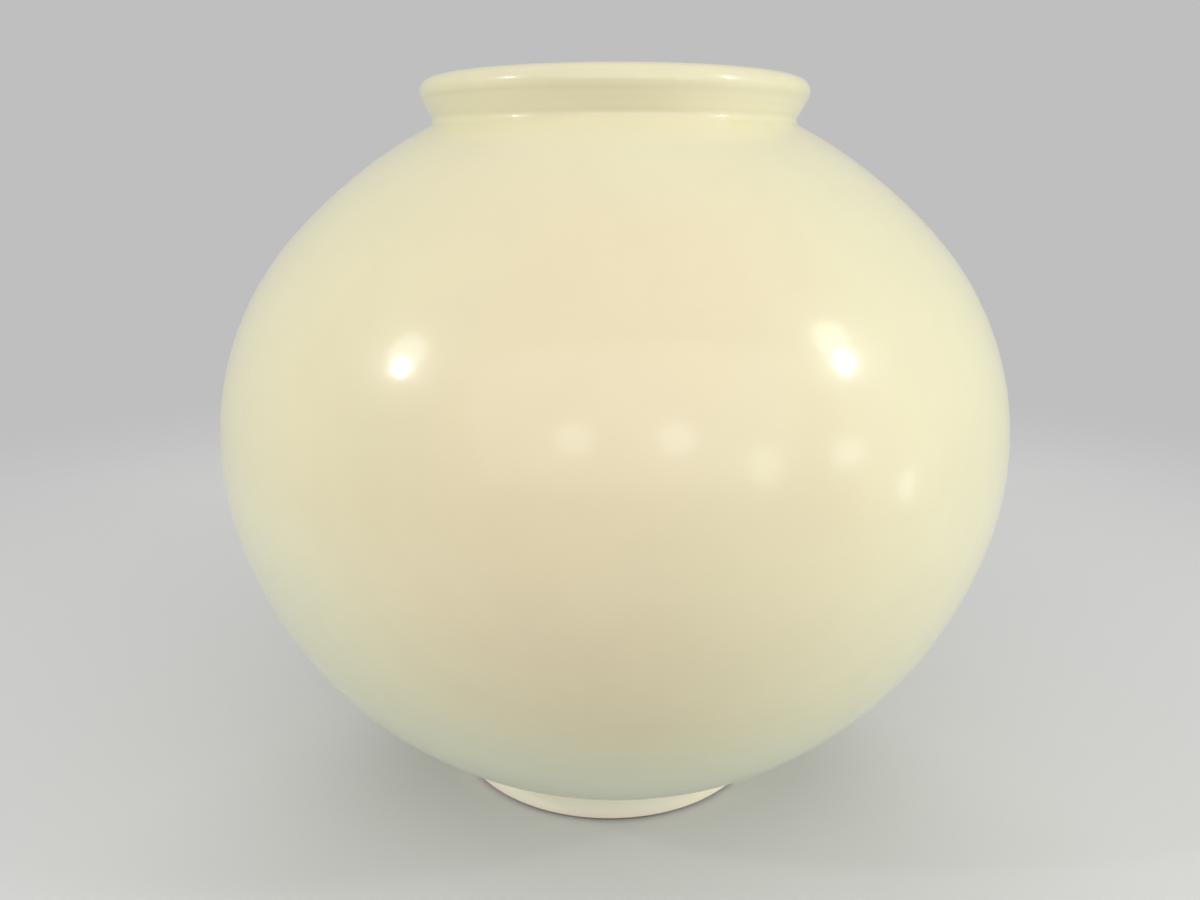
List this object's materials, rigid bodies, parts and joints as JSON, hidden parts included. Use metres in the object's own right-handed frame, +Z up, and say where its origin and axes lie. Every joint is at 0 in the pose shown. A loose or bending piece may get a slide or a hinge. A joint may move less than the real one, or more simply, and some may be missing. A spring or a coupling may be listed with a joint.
{
  "type": "moon jar",
  "caption": "Large round porcelain jar, thrown as bowls joined at the waist, with a short rolled mouth rim, a low foot ring and a plain ivory glaze",
  "frame": {"origin": "on the ground under the middle of the belly", "axes": "+Z up along the jar's upright axis, -Y towards the viewer, +X to the viewer's right"},
  "size_m": [0.45, 0.4498, 0.411],
  "materials": {
    "ivory_glaze": "soft gloss, warm ivory, no pattern",
    "bare_clay": "fired white clay, bare and dry",
    "joint_slip": "fired slip, fine and dry"
  },
  "bodies": {
    "root": {"lower_bowl": "bare_clay", "upper_bowl": "bare_clay", "waist_coil": "bare_clay", "mouth_rim": "bare_clay", "foot_ring": "bare_clay", "waist_slip": "joint_slip", "mouth_slip": "joint_slip", "foot_slip": "joint_slip", "outer_glaze": "ivory_glaze", "liner_glaze": "ivory_glaze", "foot_well_glaze": "ivory_glaze"}
  },
  "joints": []
}
